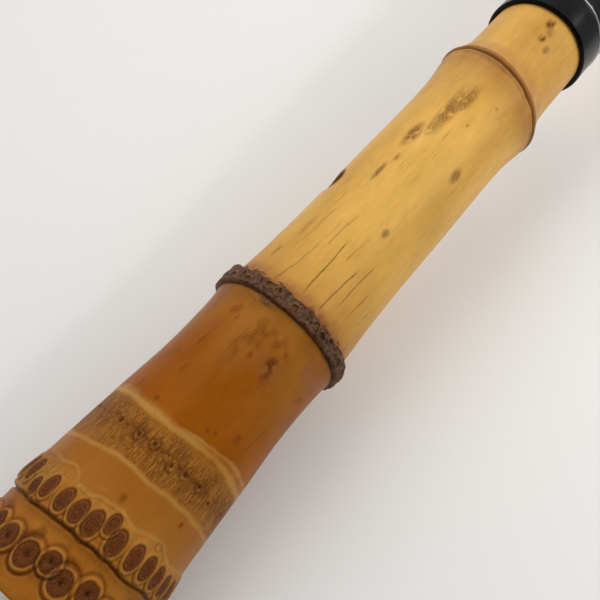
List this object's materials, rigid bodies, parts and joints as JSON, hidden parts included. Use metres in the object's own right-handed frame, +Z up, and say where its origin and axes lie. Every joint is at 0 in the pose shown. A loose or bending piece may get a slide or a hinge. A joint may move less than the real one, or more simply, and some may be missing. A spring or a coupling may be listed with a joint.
{
  "type": "end-blown bamboo flute",
  "caption": "End-blown root-end bamboo flute whose lower and upper halves twist and pull apart at a black-sleeved joint, with finger holes and an oblique blowing edge.",
  "frame": {"origin": "under the middle of the flute's length, on the surface its root end lies on", "axes": "+X along the bore from the root end to the mouth; +Y to the finger-hole side; +Z up"},
  "size_m": [0.545, 0.0504, 0.0504],
  "materials": {
    "root_bamboo": "oiled, polished bamboo skin, orange-brown at the root",
    "bamboo": "oiled, polished bamboo skin",
    "urushi_lining": "gloss lacquer over hard paste",
    "black_sleeve": "polished black lacquer",
    "dark_wood": "lacquered bamboo tube",
    "silver": "satin silver",
    "horn": "polished dark horn"
  },
  "bodies": {
    "lower_half": {"lower_culm": "root_bamboo", "lower_lining": "urushi_lining", "lower_sleeve": "black_sleeve", "tenon": "dark_wood"},
    "seam_ring": {"seam_ring": "silver"},
    "upper_half": {"socket": "dark_wood", "upper_sleeve": "black_sleeve", "upper_lining": "urushi_lining", "upper_culm": "bamboo", "mouth_inlay": "horn"}
  },
  "joints": [
    {"name": "joint_twist", "type": "hinge", "parent": "lower_half", "child": "seam_ring", "pos_m": [-0.0165, 0, 0.0252], "axis": [1, 0, 0], "continuous": true},
    {"name": "joint_pull", "type": "slide", "parent": "seam_ring", "child": "upper_half", "axis": [1, 0, 0], "range_m": [0, 0.06]}
  ]
}
